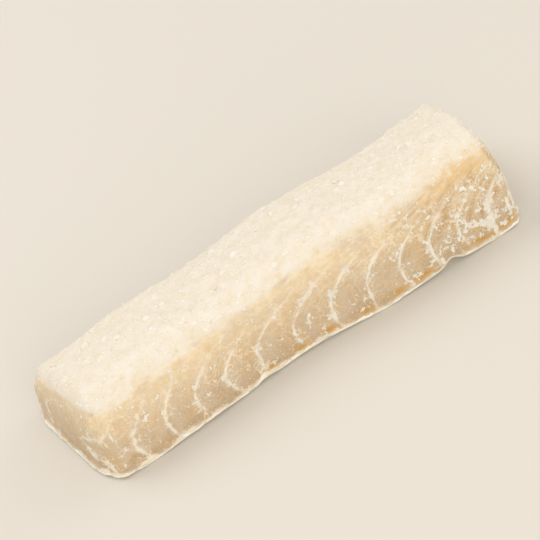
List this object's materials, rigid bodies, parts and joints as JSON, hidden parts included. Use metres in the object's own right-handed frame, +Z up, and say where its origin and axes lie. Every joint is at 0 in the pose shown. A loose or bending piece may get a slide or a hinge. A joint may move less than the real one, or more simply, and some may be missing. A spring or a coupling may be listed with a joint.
{
  "type": "salted dried cod strip",
  "caption": "Thick strip of salted dried cod on its skin: salt-crusted domed top, tan cut faces crossed by hooked white flake lines, thin proud wavy skin edge.",
  "frame": {"origin": "middle of the footprint, on the surface that the skin rests on", "axes": "+X along the fish towards the thicker end, -Y out of the front cut that shows the flake lines, +Z up through the salted top"},
  "size_m": [0.1546, 0.054, 0.0317],
  "materials": {
    "flesh": "dry translucent tan flesh, matte to satin",
    "skin": "dry pale grey skin, satin",
    "salt": "white salt crystals, matte with small glints"
  },
  "bodies": {
    "root": {"cod_strip": "flesh"}
  },
  "joints": []
}
